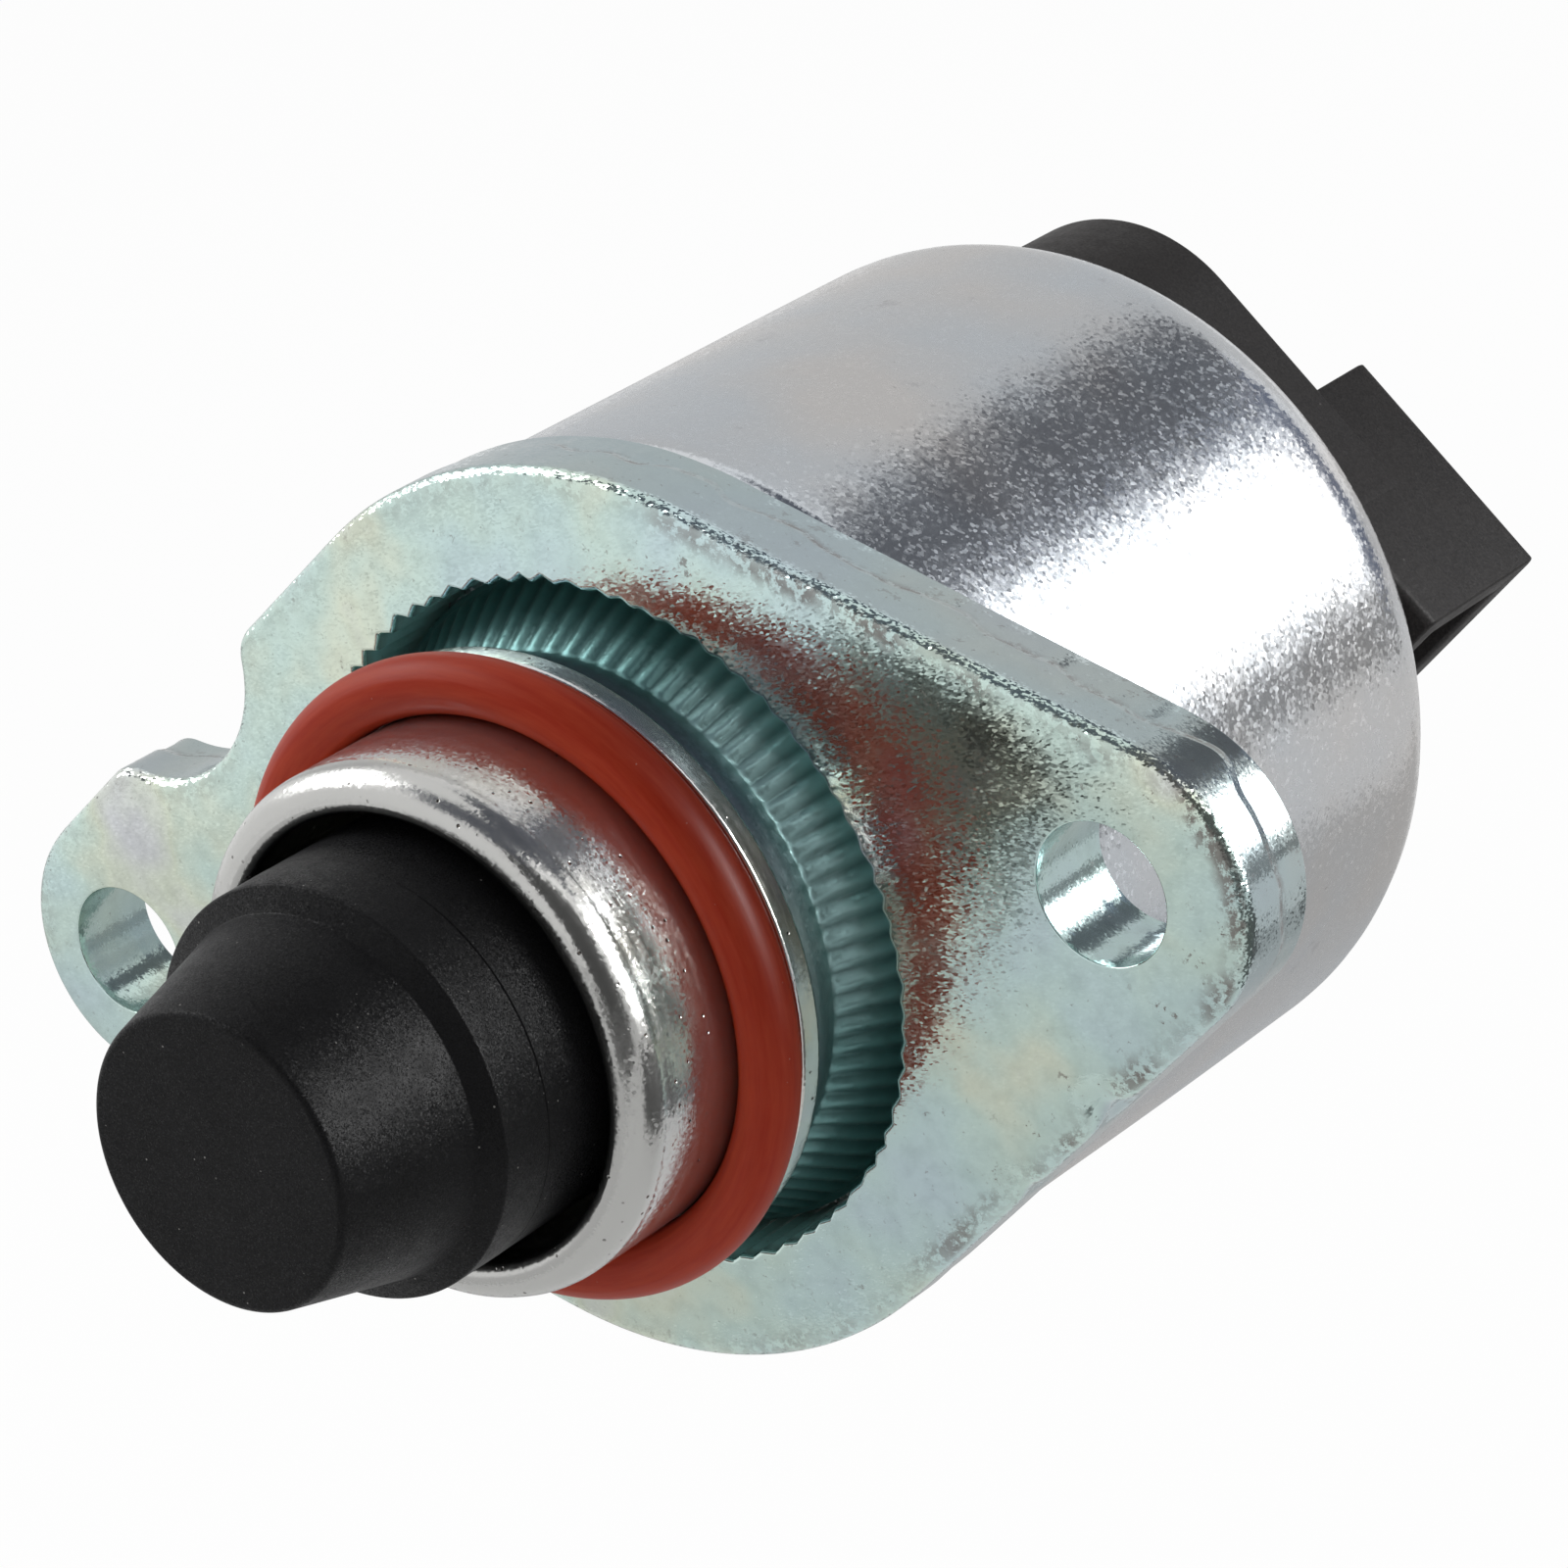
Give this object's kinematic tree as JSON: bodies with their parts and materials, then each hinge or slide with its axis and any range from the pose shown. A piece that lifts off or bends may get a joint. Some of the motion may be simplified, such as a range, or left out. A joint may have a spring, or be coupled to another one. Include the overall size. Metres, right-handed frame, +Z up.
{
  "type": "idle air control valve",
  "caption": "Stepper-driven idle air valve: tapered plastic pintle, sealed steel nose, two-ear mounting flange, drawn motor can and a side-entry plug socket.",
  "frame": {"origin": "on the valve axis, in the plane of the flange's mounting face", "axes": "+Y along the valve axis from the pintle to the connector, X through the two bolt holes, +Z up"},
  "size_m": [0.0612, 0.0655, 0.036],
  "materials": {
    "flange_zinc": "satin zinc plate with a pale blue-green and cream tint",
    "can_zinc": "semi-gloss zinc plate, fine grain",
    "nose_zinc": "bright zinc plate, turned",
    "red_rubber": "satin brick red",
    "black_plastic": "matte, fine grain",
    "connector_plastic": "matte, moulded",
    "bright_steel": "ground",
    "spring_steel": "drawn wire",
    "plate_steel": "stamped sheet",
    "bearing_steel": "polished",
    "white_plastic": "moulded",
    "ferrite": "pressed, dull",
    "copper_wire": "enamelled winding",
    "bronze": "sintered",
    "seal_rubber": "matte",
    "tinned_brass": "tin plate"
  },
  "bodies": {
    "valve_body": {"mounting_flange": "flange_zinc", "motor_can": "can_zinc", "nose_sleeve": "nose_zinc", "o_ring": "red_rubber", "connector_housing": "connector_plastic", "shaft_guide": "white_plastic", "pintle_spring": "spring_steel", "bearing_plate": "plate_steel", "preload_washer": "spring_steel", "bearing_outer_race": "bearing_steel", "bearing_balls": "bearing_steel", "bearing_cage": "white_plastic", "front_outer_pole": "plate_steel", "front_inner_pole": "plate_steel", "rear_inner_pole": "plate_steel", "rear_outer_pole": "plate_steel", "front_bobbin": "white_plastic", "rear_bobbin": "white_plastic", "front_coil": "copper_wire", "rear_coil": "copper_wire", "rear_bush": "bronze", "rear_seal": "seal_rubber", "terminal_pins": "tinned_brass"},
    "rotor": {"rotor_hub": "white_plastic", "rotor_magnet": "ferrite", "bearing_inner_race": "bearing_steel"},
    "pintle_body": {"pintle": "black_plastic", "pintle_shaft": "bright_steel"}
  },
  "joints": [
    {"name": "rotor_spin", "type": "hinge", "parent": "valve_body", "child": "rotor", "pos_m": [0, 0, 0], "axis": [0, -1, 0], "range_deg": [-2160, 720]},
    {"name": "pintle_slide", "type": "slide", "parent": "valve_body", "child": "pintle_body", "axis": [0, -1, 0], "range_m": [-0.006, 0.002], "deforming": ["pintle_spring"]}
  ],
  "couplings": [
    {"joint": "rotor_spin", "follows": "pintle_slide", "rad_per_m": 6283.2}
  ]
}
